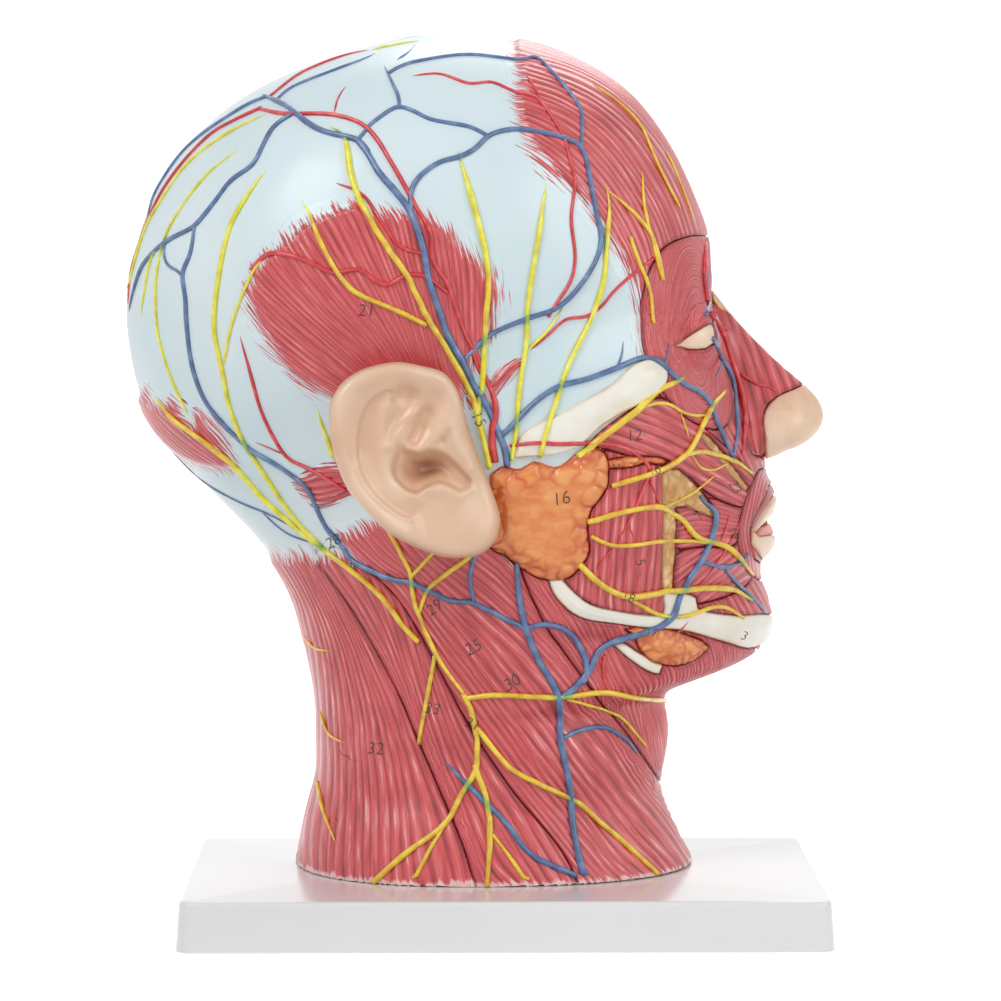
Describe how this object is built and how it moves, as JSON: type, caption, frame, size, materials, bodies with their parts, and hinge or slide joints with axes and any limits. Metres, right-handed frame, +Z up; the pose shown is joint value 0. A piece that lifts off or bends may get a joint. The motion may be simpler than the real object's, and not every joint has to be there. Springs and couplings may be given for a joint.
{
  "type": "anatomical head model",
  "caption": "Life-size half head and neck on a flat base: raised muscles, glands, vessels and nerves outside, a median section on the flat side with a lift-out half brain.",
  "frame": {"origin": "centre of the base's underside, where its ribs cross", "axes": "+X to the face, +Y out of the flat median side, +Z up from the base to the crown"},
  "size_m": [0.2327, 0.1448, 0.2925],
  "materials": {
    "white_gloss": "polished moulded plastic",
    "steel": "zinc plated",
    "wood": "sawn",
    "scalp_vinyl": "satin painted vinyl",
    "section_vinyl": "satin painted vinyl",
    "skin_vinyl": "satin painted vinyl",
    "bone_vinyl": "satin painted vinyl",
    "tooth_vinyl": "gloss painted vinyl",
    "gland_vinyl": "gloss painted vinyl",
    "fat_vinyl": "satin painted vinyl",
    "cartilage_vinyl": "satin painted vinyl",
    "brain_vinyl": "satin painted vinyl",
    "nerve_tissue_vinyl": "satin painted vinyl",
    "mucosa_vinyl": "gloss painted vinyl",
    "muscle_vinyl": "satin painted vinyl with fine ridges",
    "vein_blue": "gloss paint",
    "artery_red": "gloss paint",
    "nerve_yellow": "gloss paint"
  },
  "bodies": {
    "head": {"auricular_muscles": "muscle_vinyl", "base_plate": "white_gloss", "base_screws": "steel", "base_washers": "steel", "brainstem_and_cord": "nerve_tissue_vinyl", "buccal_fat": "fat_vinyl", "cerebellum": "brain_vinyl", "cervical_nerves": "nerve_yellow", "cervical_vertebrae": "bone_vinyl", "ear": "skin_vinyl", "eyelid": "skin_vinyl", "face_muscles": "muscle_vinyl", "facial_arteries": "artery_red", "facial_nerves": "nerve_yellow", "facial_veins": "vein_blue", "frontalis": "muscle_vinyl", "hard_palate": "bone_vinyl", "head_shell": "scalp_vinyl", "hyoid_bone": "bone_vinyl", "incisor_teeth": "tooth_vinyl", "intervertebral_discs": "cartilage_vinyl", "jaw_section": "bone_vinyl", "larynx": "cartilage_vinyl", "lips": "skin_vinyl", "mandible": "bone_vinyl", "masseter": "muscle_vinyl", "median_section": "section_vinyl", "nasal_conchae": "mucosa_vinyl", "nasal_muscle": "muscle_vinyl", "neck_block": "wood", "neck_veins": "vein_blue", "nose_tip": "skin_vinyl", "occipitalis": "muscle_vinyl", "orbicularis_oculi": "muscle_vinyl", "parotid_gland": "gland_vinyl", "scalp_arteries": "artery_red", "scalp_nerves": "nerve_yellow", "scalp_veins": "vein_blue", "skull_section": "bone_vinyl", "soft_palate": "mucosa_vinyl", "spinous_processes": "bone_vinyl", "splenius": "muscle_vinyl", "sternocleidomastoid": "muscle_vinyl", "submandibular_gland": "gland_vinyl", "temporalis": "muscle_vinyl", "throat_muscles": "muscle_vinyl", "tongue": "mucosa_vinyl", "tracheal_rings": "cartilage_vinyl", "trapezius": "muscle_vinyl", "zygomatic_arch": "bone_vinyl"},
    "brain_half": {"cerebral_hemisphere": "brain_vinyl", "corpus_callosum": "nerve_tissue_vinyl", "thalamus": "nerve_tissue_vinyl", "locating_pins": "steel"}
  },
  "joints": [
    {"name": "brain_lift_out", "type": "slide", "parent": "head", "child": "brain_half", "axis": [0, 1, 0], "range_m": [0, 0.075]}
  ]
}
